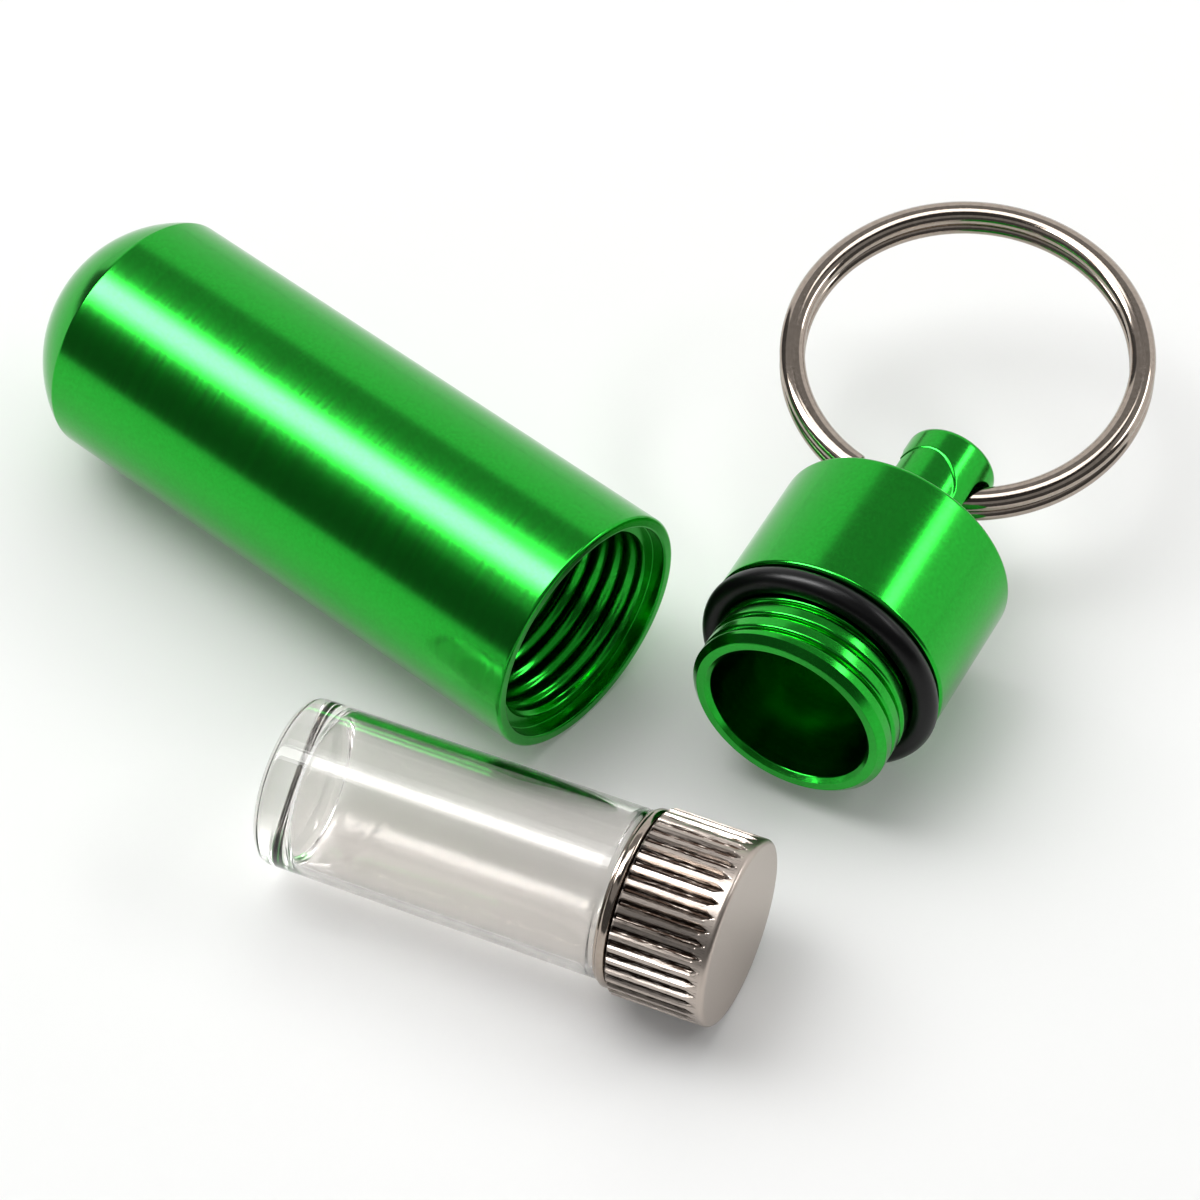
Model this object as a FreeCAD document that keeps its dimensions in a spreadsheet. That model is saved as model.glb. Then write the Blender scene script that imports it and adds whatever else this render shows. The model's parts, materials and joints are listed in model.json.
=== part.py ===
# Pill fob keychain laid out open: a turned capsule, its cap with seal and split ring, and a glass vial.
# Millimetres and degrees, +Z up. Every piece lies on the plane Z = 0 and the vial lies along X.
import FreeCAD, Part
import math
import os
import Sketcher

Vector = FreeCAD.Vector

# Driving dimensions. Each row is an alias in the sheet and its value.
sizes = {
    # Capsule: a closed tube, measured from the tip of its dome to its mouth
    "capsule_diameter": 17.0,
    "capsule_length": 45.0,
    "dome_height": 5.5,
    "pocket_wall": 2.15,
    "pocket_floor": 4.0,
    "pocket_corner": 1.5,
    "thread_wall": 1.6,
    "thread_runout": 2.4,
    "seat_wall": 0.8,
    "seat_depth": 1.0,
    "mouth_chamfer": 0.25,
    # Cap: measured from the rim of its threaded neck to the tip of its knob
    "cap_step": 0.4,
    "cap_length": 10.2,
    "cap_edge": 0.3,
    "cap_roof": 4.2,
    "thread_clearance": 0.1,
    "neck_length": 5.6,
    "neck_wall": 1.3,
    "neck_chamfer": 0.55,
    "cap_bore_chamfer": 0.35,
    "cap_bore_corner": 0.8,
    "knob_diameter": 6.3,
    "knob_height": 8.6,
    "knob_round": 0.4,
    "slot_tip_wall": 1.0,
    "relief_width": 5.6,
    "relief_depth": 0.3,
    "relief_tip_wall": 1.9,
    "relief_turn": -20.0,
    # Seal of the cap
    "seal_section": 1.7,
    "seal_stands_proud": 0.15,
    "seal_clearance": 0.03,
    # Split ring: flattened wire wound in two turns
    "ring_diameter": 25.0,
    "ring_clearance": 0.16,
    "wire_width": 1.7,
    "wire_height": 0.92,
    "wire_round": 0.36,
    "turn_gap": 0.42,
    "climb_angle": 30.0,
    "climb_from_slot": -24.0,
    "wire_end_gap": 0.2,
    # Vial: measured along its axis from the base of the glass
    "vial_clearance": 0.3,
    "glass_step": 0.55,
    "glass_wall": 1.0,
    "glass_base": 2.2,
    "glass_heel": 0.8,
    "glass_floor_corner": 0.8,
    "glass_length": 23.3,
    "glass_shoulder": 1.2,
    "glass_neck_length": 5.6,
    "glass_neck_wall": 0.95,
    "glass_lip": 0.3,
    # Collar of the vial
    "bead_step": 0.25,
    "bead_length": 0.9,
    "bead_round": 0.3,
    "collar_wall": 0.47,
    "collar_chamfer": 0.2,
    "bond_line": 0.03,
    # Screw cap of the vial and the disc that seals it
    "vial_cap_wall": 0.85,
    "vial_cap_length": 6.48,
    "vial_cap_roof": 1.2,
    "vial_cap_edge": 0.12,
    "vial_cap_round": 0.35,
    "vial_cap_gap": 0.12,
    "knurl_count": 42,
    "knurl_depth": 0.32,
    "knurl_width": 0.62,
    "knurl_end": 0.65,
    "liner_height": 0.6,
    "liner_clearance": 0.1,
    # Layout on the table, seen from above
    "vial_side_gap": 5.27,
    "vial_base_back": 8.14,
    "vial_turn": 16.8,
    "cap_front_gap": 5.76,
    "cap_rim_side": 3.08,
    "cap_turn": 102.46,
    "ring_turn": 13.4,
    "ring_lift": 7.5,
    # What every cut reaches past the face that it starts from
    "overrun": 0.5,
}

doc = FreeCAD.newDocument("PillFob")
sheet = doc.addObject("Spreadsheet::Sheet", "Sizes")
for row, (alias, number) in enumerate(sizes.items(), start=1):
    sheet.set(f"A{row}", alias)
    sheet.set(f"B{row}", str(number))
    sheet.setAlias(f"B{row}", alias)
doc.recompute()


def value(expression):
    """The number that an expression on the sheet gives."""
    return float(sheet.evalExpression(expression))


def add_body(label):
    body = doc.addObject("PartDesign::Body", label)
    body.Label = label
    return body


def add_sketch(body, name, role, offset=FreeCAD.Placement()):
    """An empty sketch on one of the body's own origin planes."""
    sketch = body.newObject("Sketcher::SketchObject", name)
    plane = next(feature for feature in body.Origin.OriginFeatures if feature.Role == role)
    sketch.AttachmentSupport = [(plane, "")]
    sketch.MapMode = "FlatFace"
    sketch.AttachmentOffset = offset
    return sketch


def arc_centre(start, end, radius):
    """Centre of an arc of less than a half circle. It lies on the right of the way from start to end for a
    positive radius, and on the left for a negative one."""
    chord = end - start
    right = Vector(chord.y, -chord.x, 0).normalize()
    rise = math.sqrt(max(radius**2 - chord.Length**2 / 4, 0))
    return (start + end) * 0.5 + right * math.copysign(rise, radius)


def draw_profile(sketch, corners):
    """Draws a closed outline. A corner is (along, out), and a third item is the radius of the arc that
    leaves it. All are expressions on the sheet of sizes, and each one drives a constraint."""
    points = [Vector(value(corner[0]), value(corner[1]), 0) for corner in corners]
    starts = []
    for index, corner in enumerate(corners):
        start = points[index]
        end = points[(index + 1) % len(points)]
        if len(corner) == 2:
            sketch.addGeometry(Part.LineSegment(start, end), False)
            starts.append((1, 2))
            continue
        radius = value(corner[2])
        centre = arc_centre(start, end, radius)
        first, last = (end, start) if radius > 0 else (start, end)
        angles = [math.atan2(point.y - centre.y, point.x - centre.x) for point in (first, last)]
        circle = Part.Circle(centre, Vector(0, 0, 1), abs(radius))
        sketch.addGeometry(Part.ArcOfCircle(circle, angles[0], angles[1]), False)
        starts.append((2, 1) if radius > 0 else (1, 2))
    for index, corner in enumerate(corners):
        following = (index + 1) % len(corners)
        head = starts[index][0]
        sketch.addConstraint(
            Sketcher.Constraint("Coincident", index, starts[index][1], following, starts[following][0]))
        bind_place(sketch, index, head, "DistanceX", corner[0], -2)
        bind_place(sketch, index, head, "DistanceY", corner[1], -1)
        if len(corner) == 3:
            number = sketch.addConstraint(Sketcher.Constraint("Radius", index, abs(value(corner[2]))))
            sketch.setExpression(f"Constraints[{number}]", f"abs({corner[2]})")


def bind_place(sketch, index, head, kind, expression, axis):
    """Ties one coordinate of a point to the sheet, or puts the point on the sketch's axis."""
    if expression == "0":
        sketch.addConstraint(Sketcher.Constraint("PointOnObject", index, head, axis))
        return
    number = sketch.addConstraint(Sketcher.Constraint(kind, -1, 1, index, head, value(expression)))
    sketch.setExpression(f"Constraints[{number}]", expression)


def turn(body, name, kind, corners):
    """Turns a half profile about the body's X axis, to add it or to cut it."""
    sketch = add_sketch(body, name + "Profile", "XZ_Plane")
    draw_profile(sketch, corners)
    feature = body.newObject(kind, name)
    feature.Profile = sketch
    feature.ReferenceAxis = (sketch, ["H_Axis"])
    feature.Angle = 360
    sketch.Visibility = False
    doc.recompute()
    return feature


# Capsule. The blank is one turned outline, and its pocket, thread bore and seal seat are one bored outline.
wall_radius = "Sizes.capsule_diameter / 2"
dome_radius = "(Sizes.capsule_diameter^2 / 4 + Sizes.dome_height^2) / (2 * Sizes.dome_height)"
pocket_radius = f"({wall_radius} - Sizes.pocket_wall)"
thread_radius = f"({wall_radius} - Sizes.thread_wall)"
seat_radius = f"({wall_radius} - Sizes.seat_wall)"
mouth = "Sizes.capsule_length"
thread_end = f"({mouth} - Sizes.neck_length - Sizes.thread_runout)"
capsule = add_body("capsule_body")
turn(capsule, "Blank", "PartDesign::Revolution", [
    ("0", "0", dome_radius),
    ("Sizes.dome_height", wall_radius),
    (f"{mouth} - Sizes.mouth_chamfer", wall_radius),
    (mouth, f"{wall_radius} - Sizes.mouth_chamfer"),
    (mouth, "0"),
])
turn(capsule, "Bore", "PartDesign::Groove", [
    ("Sizes.pocket_floor", "0"),
    ("Sizes.pocket_floor", f"{pocket_radius} - Sizes.pocket_corner", "Sizes.pocket_corner"),
    ("Sizes.pocket_floor + Sizes.pocket_corner", pocket_radius),
    (thread_end, pocket_radius),
    (thread_end, thread_radius),
    (f"{mouth} - Sizes.seat_depth", thread_radius),
    (f"{mouth} - Sizes.seat_depth", seat_radius),
    (f"{mouth} - Sizes.mouth_chamfer", seat_radius),
    (mouth, f"{seat_radius} + Sizes.mouth_chamfer"),
    (f"{mouth} + Sizes.overrun", f"{seat_radius} + Sizes.mouth_chamfer"),
    (f"{mouth} + Sizes.overrun", "0"),
])

# Cap. It is turned from its rim to its knob, bored from the rim, and cross-drilled through the knob.
cap_radius = f"({wall_radius} - Sizes.cap_step)"
neck_radius = f"({thread_radius} - Sizes.thread_clearance)"
seal_inside = f"({cap_radius} + Sizes.seal_stands_proud - Sizes.seal_section)"
groove_radius = f"({seal_inside} - Sizes.seal_clearance)"
groove_start = "(Sizes.neck_length - Sizes.seal_section - 2 * Sizes.seal_clearance)"
shoulder = "Sizes.neck_length"
cap_top = "(Sizes.neck_length + Sizes.cap_length)"
knob_tip = f"({cap_top} + Sizes.knob_height)"
knob_radius = "Sizes.knob_diameter / 2"
cap_bore = f"({neck_radius} - Sizes.neck_wall)"
cap_bore_end = f"({cap_top} - Sizes.cap_roof)"
cap = add_body("capsule_cap")
turn(cap, "Blank", "PartDesign::Revolution", [
    ("0", "0"),
    ("0", f"{neck_radius} - Sizes.neck_chamfer"),
    ("Sizes.neck_chamfer", neck_radius),
    (groove_start, neck_radius),
    (groove_start, groove_radius),
    (shoulder, groove_radius),
    (shoulder, f"{cap_radius} - Sizes.cap_edge"),
    (f"{shoulder} + Sizes.cap_edge", cap_radius),
    (f"{cap_top} - Sizes.cap_edge", cap_radius),
    (cap_top, f"{cap_radius} - Sizes.cap_edge"),
    (cap_top, knob_radius),
    (f"{knob_tip} - Sizes.knob_round", knob_radius, "Sizes.knob_round"),
    (knob_tip, f"{knob_radius} - Sizes.knob_round"),
    (knob_tip, "0"),
])
turn(cap, "Bore", "PartDesign::Groove", [
    ("-Sizes.overrun", "0"),
    ("-Sizes.overrun", f"{cap_bore} + Sizes.cap_bore_chamfer"),
    ("0", f"{cap_bore} + Sizes.cap_bore_chamfer"),
    ("Sizes.cap_bore_chamfer", cap_bore),
    (f"{cap_bore_end} - Sizes.cap_bore_corner", cap_bore, "Sizes.cap_bore_corner"),
    (cap_bore_end, f"{cap_bore} - Sizes.cap_bore_corner"),
    (cap_bore_end, "0"),
])


def cut_through(body, name, sketch):
    """Cuts a sketch through the body on both sides of its plane."""
    before = body.Shape.Volume
    pocket = body.newObject("PartDesign::Pocket", name)
    pocket.Profile = sketch
    pocket.Type = "ThroughAll"
    pocket.SideType = "Symmetric"
    sketch.Visibility = False
    doc.recompute()
    if not body.Shape.Volume < before:
        raise RuntimeError(f"{name} cuts nothing")


# Two shallow arched reliefs on the knob: an arch is cut right through, and the core inside it is put back.
arch_half = "Sizes.relief_width / 2"
arch_tip = f"({knob_tip} - Sizes.relief_tip_wall)"
arch_spring = f"({arch_tip} - {arch_half})"
relief_turned = FreeCAD.Placement(Vector(), FreeCAD.Rotation(Vector(1, 0, 0), value("Sizes.relief_turn")))
arch = add_sketch(cap, "ReliefArch", "XY_Plane", relief_turned)
draw_profile(arch, [
    (cap_top, f"-{arch_half}"),
    (cap_top, arch_half),
    (arch_spring, arch_half, arch_half),
    (arch_tip, "0", arch_half),
    (arch_spring, f"-{arch_half}"),
])
cut_through(cap, "Relief", arch)
core_radius = f"({knob_radius} - Sizes.relief_depth)"
turn(cap, "Core", "PartDesign::Revolution", [
    (f"{cap_top} - Sizes.cap_edge", "0"),
    (f"{cap_top} - Sizes.cap_edge", core_radius),
    (arch_tip, core_radius),
    (arch_tip, "0"),
])

# Slot for the split ring. Its round ends leave the two turns room to swing, and its straight sides leave
# room for the angle at which the ring lies across the knob.
ring_line = "(Sizes.ring_diameter - Sizes.wire_width) / 2"
ring_bend = f"({ring_line} - sqrt(({ring_line})^2 - ({knob_radius})^2)) / 2"
pack_across = f"(Sizes.wire_width / 2 + {ring_bend})"
pack_height = "(Sizes.wire_height + Sizes.turn_gap / 2)"
slot_half = f"(sqrt({pack_across}^2 + {pack_height}^2) + Sizes.ring_clearance)"
slot_stretch = f"{knob_radius} * tan(Sizes.ring_turn)"
slot_far = f"({knob_tip} - Sizes.slot_tip_wall - {slot_half})"
slot_middle = f"({slot_far} - {slot_stretch})"
slot_near = f"({slot_middle} - {slot_stretch})"
slot = add_sketch(cap, "RingSlotOutline", "XZ_Plane")
draw_profile(slot, [
    (slot_near, f"-{slot_half}", slot_half),
    (f"{slot_near} - {slot_half}", "0", slot_half),
    (slot_near, slot_half),
    (slot_far, slot_half, slot_half),
    (f"{slot_far} + {slot_half}", "0", slot_half),
    (slot_far, f"-{slot_half}"),
])
cut_through(cap, "RingSlot", slot)

# Seal. A plain rubber ring that sits in the groove against the cap's shoulder.
seal = doc.addObject("Part::Torus", "o_ring")
seal.setExpression("Radius1", f"{seal_inside} + Sizes.seal_section / 2")
seal.setExpression("Radius2", "Sizes.seal_section / 2")

# Glass of the vial. Its screw cap fits the capsule's pocket, and what is inside follows from that radius.
screw_radius = f"({pocket_radius} - Sizes.vial_clearance)"
screw_bore = f"({screw_radius} - Sizes.vial_cap_wall)"
collar_radius = f"({screw_bore} - Sizes.thread_clearance)"
collar_inside = f"({collar_radius} - Sizes.collar_wall)"
neck_outside = f"({collar_inside} - Sizes.bond_line)"
neck_inside = f"({neck_outside} - Sizes.glass_neck_wall)"
glass_radius = f"({screw_radius} - Sizes.glass_step)"
inside_radius = f"({glass_radius} - Sizes.glass_wall)"
neck_end = "(Sizes.glass_length + Sizes.glass_neck_length)"
glass = add_body("vial_tube")
turn(glass, "Blank", "PartDesign::Revolution", [
    ("0", "0"),
    ("0", f"{glass_radius} - Sizes.glass_heel", "Sizes.glass_heel"),
    ("Sizes.glass_heel", glass_radius),
    ("Sizes.glass_length", glass_radius),
    ("Sizes.glass_length", neck_outside),
    (f"{neck_end} - Sizes.glass_lip", neck_outside, "Sizes.glass_lip"),
    (neck_end, f"{neck_outside} - Sizes.glass_lip"),
    (neck_end, "0"),
])
turn(glass, "Bore", "PartDesign::Groove", [
    ("Sizes.glass_base", "0"),
    ("Sizes.glass_base", f"{inside_radius} - Sizes.glass_floor_corner", "Sizes.glass_floor_corner"),
    ("Sizes.glass_base + Sizes.glass_floor_corner", inside_radius),
    ("Sizes.glass_length - Sizes.glass_shoulder", inside_radius),
    ("Sizes.glass_length", neck_inside),
    (f"{neck_end} + Sizes.overrun", neck_inside),
    (f"{neck_end} + Sizes.overrun", "0"),
])

# Collar of the vial. A sleeve with a polished bead where it meets the glass.
bead_radius = f"({screw_radius} - Sizes.bead_step)"
bead_start = "Sizes.glass_length + Sizes.bond_line"
bead_end = f"({bead_start} + Sizes.bead_length)"
collar = add_body("vial_collar")
turn(collar, "Sleeve", "PartDesign::Revolution", [
    (bead_start, collar_inside),
    (bead_start, f"{bead_radius} - Sizes.bead_round", "Sizes.bead_round"),
    (f"{bead_start} + Sizes.bead_round", bead_radius),
    (f"{bead_end} - Sizes.bead_round", bead_radius, "Sizes.bead_round"),
    (bead_end, f"{bead_radius} - Sizes.bead_round"),
    (bead_end, collar_radius),
    (f"{neck_end} - Sizes.collar_chamfer", collar_radius),
    (neck_end, f"{collar_radius} - Sizes.collar_chamfer"),
    (neck_end, collar_inside),
])

# Screw cap of the vial. Straight knurls are cut from its rim and stop short of its rounded end.
screw_start = f"({bead_end} + Sizes.vial_cap_gap)"
screw_end = f"({screw_start} + Sizes.vial_cap_length)"
screw_roof = f"({screw_end} - Sizes.vial_cap_roof)"
screw = add_body("vial_cap")
turn(screw, "Blank", "PartDesign::Revolution", [
    (screw_start, "0"),
    (screw_start, f"{screw_radius} - Sizes.vial_cap_edge"),
    (f"{screw_start} + Sizes.vial_cap_edge", screw_radius),
    (f"{screw_end} - Sizes.vial_cap_round", screw_radius, "Sizes.vial_cap_round"),
    (screw_end, f"{screw_radius} - Sizes.vial_cap_round"),
    (screw_end, "0"),
])
turn(screw, "Bore", "PartDesign::Groove", [
    (f"{screw_start} - Sizes.overrun", "0"),
    (f"{screw_start} - Sizes.overrun", f"{screw_bore} + Sizes.vial_cap_edge"),
    (screw_start, f"{screw_bore} + Sizes.vial_cap_edge"),
    (f"{screw_start} + Sizes.vial_cap_edge", screw_bore),
    (screw_roof, screw_bore),
    (screw_roof, "0"),
])
knurl_plane = FreeCAD.Placement(Vector(0, 0, value(f"{screw_start} - Sizes.overrun")), FreeCAD.Rotation())
knurl = add_sketch(screw, "KnurlTooth", "YZ_Plane", knurl_plane)
knurl.setExpression("AttachmentOffset.Base.z", f"{screw_start} - Sizes.overrun")
knurl_flare = "(Sizes.knurl_depth + Sizes.overrun) / Sizes.knurl_depth * Sizes.knurl_width / 2"
draw_profile(knurl, [
    ("0", f"{screw_radius} - Sizes.knurl_depth"),
    (f"-{knurl_flare}", f"{screw_radius} + Sizes.overrun"),
    (knurl_flare, f"{screw_radius} + Sizes.overrun"),
])
plain_volume = screw.Shape.Volume
tooth = screw.newObject("PartDesign::Pocket", "Tooth")
tooth.Profile = knurl
tooth.Reversed = True
tooth.setExpression("Length", "Sizes.vial_cap_length - Sizes.knurl_end + Sizes.overrun")
knurl.Visibility = False
doc.recompute()
if not screw.Shape.Volume < plain_volume:
    raise RuntimeError("the knurl cuts nothing")
teeth = screw.newObject("PartDesign::PolarPattern", "Teeth")
teeth.Originals = [tooth]
teeth.Axis = (knurl, ["N_Axis"])
teeth.Angle = 360
teeth.setExpression("Occurrences", "Sizes.knurl_count")
screw.Tip = teeth
doc.recompute()

# Disc that seals the vial, between the glass and the roof of the screw cap.
liner = doc.addObject("Part::Cylinder", "vial_cap_liner")
liner.setExpression("Radius", f"{screw_bore} - Sizes.liner_clearance")
liner.setExpression("Height", "Sizes.liner_height")
liner_start = f"({neck_end} + {screw_roof} - Sizes.liner_height) / 2"

# Split ring. Flattened wire lies flat for a turn, climbs one step beside the knob and lies flat again.
ring_radius = value(ring_line)
turn_step = value("Sizes.wire_height + Sizes.turn_gap")
climb_angle = math.radians(value("Sizes.climb_angle"))
climb_start = math.pi + math.radians(value("Sizes.climb_from_slot"))
climb_end = climb_start + climb_angle
end_angle = value("Sizes.wire_end_gap") / ring_radius
full_turn = 2 * math.pi


def ring_point(angle, level):
    """A point of the wire's middle line, from the middle of the two turns."""
    return Vector(ring_radius * math.cos(angle), ring_radius * math.sin(angle), level * turn_step)


def ring_heading(angle):
    return Vector(-math.sin(angle), math.cos(angle), 0)


def biarc(start, start_heading, end, end_heading):
    """Two arcs that leave start along one heading and reach end along the other."""
    span = end - start
    both = start_heading + end_heading
    spread = 2 * (1 - start_heading.dot(end_heading))
    reach = (math.sqrt(span.dot(both)**2 + spread * span.dot(span)) - span.dot(both)) / spread
    joint = (start + end + (start_heading - end_heading) * reach) * 0.5
    return [bent_edge(start, start_heading, joint), bent_edge(end, end_heading * -1, joint, True)]


def bent_edge(start, heading, end, backwards=False):
    """An arc from start along heading to end, or the same arc run from end to start."""
    chord = end - start
    sideways = chord - heading * chord.dot(heading)
    radius = chord.dot(chord) / (2 * sideways.Length)
    outward = sideways.normalize()
    centre = start + outward * radius
    middle = centre + ((start + end) * 0.5 - centre).normalize() * radius
    if backwards:
        return Part.Arc(end, middle, start).toShape()
    return Part.Arc(start, middle, end).toShape()


def flat_stretch(first, last, level):
    """Biarcs of about a quarter turn along one turn of the ring."""
    count = math.ceil((last - first) / (full_turn / 4))
    angles = [first + (last - first) * step / count for step in range(count + 1)]
    edges = []
    for near, far in zip(angles, angles[1:]):
        edges += biarc(
            ring_point(near, level), ring_heading(near),
            ring_point(far, level), ring_heading(far))
    return edges


lower, upper = -0.5, 0.5
wire_start = climb_end + end_angle
wire_end = climb_start - end_angle + 2 * full_turn
path_edges = flat_stretch(wire_start, climb_start + full_turn, lower)
path_edges += biarc(ring_point(climb_start, lower), ring_heading(climb_start),
                    ring_point(climb_end, upper), ring_heading(climb_end))
path_edges += flat_stretch(climb_end + full_turn, wire_end, upper)
wire_path = Part.Wire(path_edges)


def wire_section(angle, level):
    """Rounded outline of the flattened wire, square to its path."""
    outward = Vector(math.cos(angle), math.sin(angle), 0)
    upward = Vector(0, 0, 1)
    half_width = value("Sizes.wire_width / 2")
    half_height = value("Sizes.wire_height / 2")
    corner = value("Sizes.wire_round")
    diagonal = corner * (1 - math.sqrt(0.5))
    edges = []
    corners = [(1, -1), (1, 1), (-1, 1), (-1, -1)]

    def place(out, up):
        return ring_point(angle, level) + outward * out + upward * up

    last_point = None
    first_point = None
    for side, rise in corners:
        by_side = place(side * half_width, rise * (half_height - corner))
        by_rise = place(side * (half_width - corner), rise * half_height)
        bend = place(side * (half_width - diagonal), rise * (half_height - diagonal))
        begin, finish = (by_rise, by_side) if side * rise < 0 else (by_side, by_rise)
        if last_point is not None:
            edges.append(Part.LineSegment(last_point, begin).toShape())
        else:
            first_point = begin
        edges.append(Part.Arc(begin, bend, finish).toShape())
        last_point = finish
    edges.append(Part.LineSegment(last_point, first_point).toShape())
    return Part.Wire(edges)


ring_solid = wire_path.makePipeShell([wire_section(wire_start, lower)], True, False)
ring = doc.addObject("Part::Feature", "split_ring")
ring.Shape = ring_solid

# The least gap between the two turns, on points of the wire's middle line
sample_count = 600
samples = wire_path.discretize(Number=sample_count)
next_turn = sample_count // 3
distances = []
for index, sample in enumerate(samples):
    distances += [sample.distanceToPoint(other) for other in samples[index + next_turn:]]
turn_clearance = min(distances) - value("Sizes.wire_height")
print(f"least gap between the turns of the split ring: {turn_clearance:.3f} mm")

# Layout. Each piece lies on the table, and what rests on two radii tilts by their difference.
along_x = FreeCAD.Rotation(Vector(0, 0, 1), Vector(1, 0, 0))


def lying(turn_angle, tilt):
    """A rotation that turns the X axis in plan and then raises it by the tilt."""
    return FreeCAD.Rotation(Vector(0, 0, 1), turn_angle) * FreeCAD.Rotation(Vector(0, 1, 0), -tilt)


mouth_x = value(mouth)
capsule_place = FreeCAD.Placement(Vector(-mouth_x, 0, value(wall_radius)), FreeCAD.Rotation())
vial_support = value(f"{screw_start} + Sizes.vial_cap_edge - Sizes.glass_heel")
vial_tilt = math.degrees(math.asin(value("Sizes.glass_step") / vial_support))
vial_turned = lying(value("Sizes.vial_turn"), vial_tilt)
vial_heel = vial_turned.multVec(Vector(value("Sizes.glass_heel"), 0, -value(glass_radius)))
vial_side = value(f"{wall_radius} + {glass_radius} + Sizes.vial_side_gap")
vial_place = FreeCAD.Placement(Vector(-value("Sizes.vial_base_back"), -vial_side, -vial_heel.z), vial_turned)
seal_middle = value("Sizes.neck_length - Sizes.seal_clearance - Sizes.seal_section / 2")
cap_support = value(f"{cap_top} - Sizes.cap_edge") - seal_middle
cap_tilt = -math.degrees(math.asin(value("Sizes.seal_stands_proud") / cap_support))
cap_turned = lying(value("Sizes.cap_turn"), cap_tilt)
cap_contact = cap_turned.multVec(Vector(value(f"{cap_top} - Sizes.cap_edge"), 0, -value(cap_radius)))
cap_side = value(f"{cap_radius} + Sizes.cap_front_gap")
cap_place = FreeCAD.Placement(Vector(cap_side, value("Sizes.cap_rim_side"), -cap_contact.z), cap_turned)
seal_place = cap_place * FreeCAD.Placement(Vector(seal_middle, 0, 0), along_x)
liner_place = vial_place * FreeCAD.Placement(Vector(value(liner_start), 0, 0), along_x)

# The ring passes the slot by the middle of its bend, so that both ends of the slot clear it alike.
slot_place = cap_place.multVec(Vector(value(slot_middle), 0, 0))
ring_turned = lying(value("Sizes.cap_turn + Sizes.ring_turn"), value("Sizes.ring_lift"))
ring_out = ring_turned.multVec(Vector(1, 0, 0))
ring_place = FreeCAD.Placement(slot_place + ring_out * value(f"{ring_line} - {ring_bend}"), ring_turned)

pieces = {
    capsule: capsule_place,
    cap: cap_place,
    seal: seal_place,
    ring: ring_place,
    glass: vial_place,
    collar: vial_place,
    screw: vial_place,
    liner: liner_place,
}
along_vial = FreeCAD.Placement(Vector(), FreeCAD.Rotation(Vector(0, 0, 1), -value("Sizes.vial_turn")))
for piece, place in pieces.items():
    piece.Placement = along_vial * place
doc.recompute()

# The origin is on the table, under the middle of everything that lies there, and X runs along the vial.
whole = FreeCAD.BoundBox()
for piece in pieces:
    whole.add(piece.Shape.optimalBoundingBox(False, False))
to_frame = FreeCAD.Placement(Vector(-whole.Center.x, -whole.Center.y, 0), FreeCAD.Rotation()) * along_vial
for piece, place in pieces.items():
    piece.Placement = to_frame * place
doc.recompute()

for item in doc.Objects:
    if "Invalid" in item.State or "Error" in item.State:
        raise RuntimeError(f"{item.Name} failed: {item.State}")
for piece in pieces:
    if piece.Shape.isNull() or not piece.Shape.isValid():
        raise RuntimeError(f"{piece.Label} has no valid shape")
    if len(piece.Shape.Solids) != 1:
        raise RuntimeError(f"{piece.Label} isn't one solid")


def report(name, place, along, axis):
    """Prints where a point and a direction of a piece are in the finished layout."""
    point = (to_frame * place).multVec(Vector(along, 0, 0))
    heading = (to_frame * place).Rotation.multVec(axis)
    print(name, "at", [round(number, 4) for number in point])
    print(name, "axis", [round(number, 6) for number in heading])


report("capsule mouth", capsule_place, mouth_x, Vector(1, 0, 0))
report("cap rim", cap_place, 0, Vector(-1, 0, 0))
report("vial base", vial_place, 0, Vector(1, 0, 0))
report("ring slot", cap_place, value(slot_middle), Vector(1, 0, 0))
report("ring middle", ring_place, 0, Vector(0, 0, 1))
report("ring hinge", ring_place, 0, Vector(0, -1, 0))
print(f"whole layout {whole.XLength:.3f} by {whole.YLength:.3f} by {whole.ZLength:.3f} mm")

os.makedirs("parts", exist_ok=True)
for piece in pieces:
    piece.Shape.exportStep(f"parts/{piece.Label}.step")
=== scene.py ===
import bmesh
import bpy
import json
import math
from mathutils import Matrix, Vector


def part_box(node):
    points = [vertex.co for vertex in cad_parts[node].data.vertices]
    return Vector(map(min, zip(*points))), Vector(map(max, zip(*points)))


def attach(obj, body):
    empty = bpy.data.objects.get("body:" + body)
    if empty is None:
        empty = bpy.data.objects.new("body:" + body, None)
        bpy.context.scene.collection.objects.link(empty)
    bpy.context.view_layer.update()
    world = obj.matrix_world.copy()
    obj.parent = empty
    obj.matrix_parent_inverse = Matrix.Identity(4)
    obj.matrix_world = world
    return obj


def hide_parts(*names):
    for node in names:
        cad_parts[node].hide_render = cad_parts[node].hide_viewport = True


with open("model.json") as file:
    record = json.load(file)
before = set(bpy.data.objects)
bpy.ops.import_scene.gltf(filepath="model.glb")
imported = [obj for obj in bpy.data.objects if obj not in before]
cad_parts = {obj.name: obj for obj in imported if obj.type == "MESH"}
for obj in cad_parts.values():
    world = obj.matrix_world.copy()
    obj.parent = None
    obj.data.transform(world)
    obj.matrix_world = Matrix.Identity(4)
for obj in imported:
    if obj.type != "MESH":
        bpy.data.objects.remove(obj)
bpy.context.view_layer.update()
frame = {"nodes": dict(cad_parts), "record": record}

# Capsule body: a closed tube, turned from aluminium bar and dyed green in the anodising bath. Its mouth has
# a seat for the seal and, behind it, an inside thread that was cut on the lathe.
mm = 0.001
mounts = {mount["name"]: mount for mount in frame["record"]["mounts"]}
capsule_low, capsule_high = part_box("capsule_body")
capsule_radius = (capsule_high[2] - capsule_low[2]) / 2 / mm
capsule_length = 45.0
capsule_bore_middle = 21.25
dome_height = 5.5
dome_steps = 28
dome_edge_round = 0.4
mouth_round = 0.22
seat_edge_round = 0.15
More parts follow.
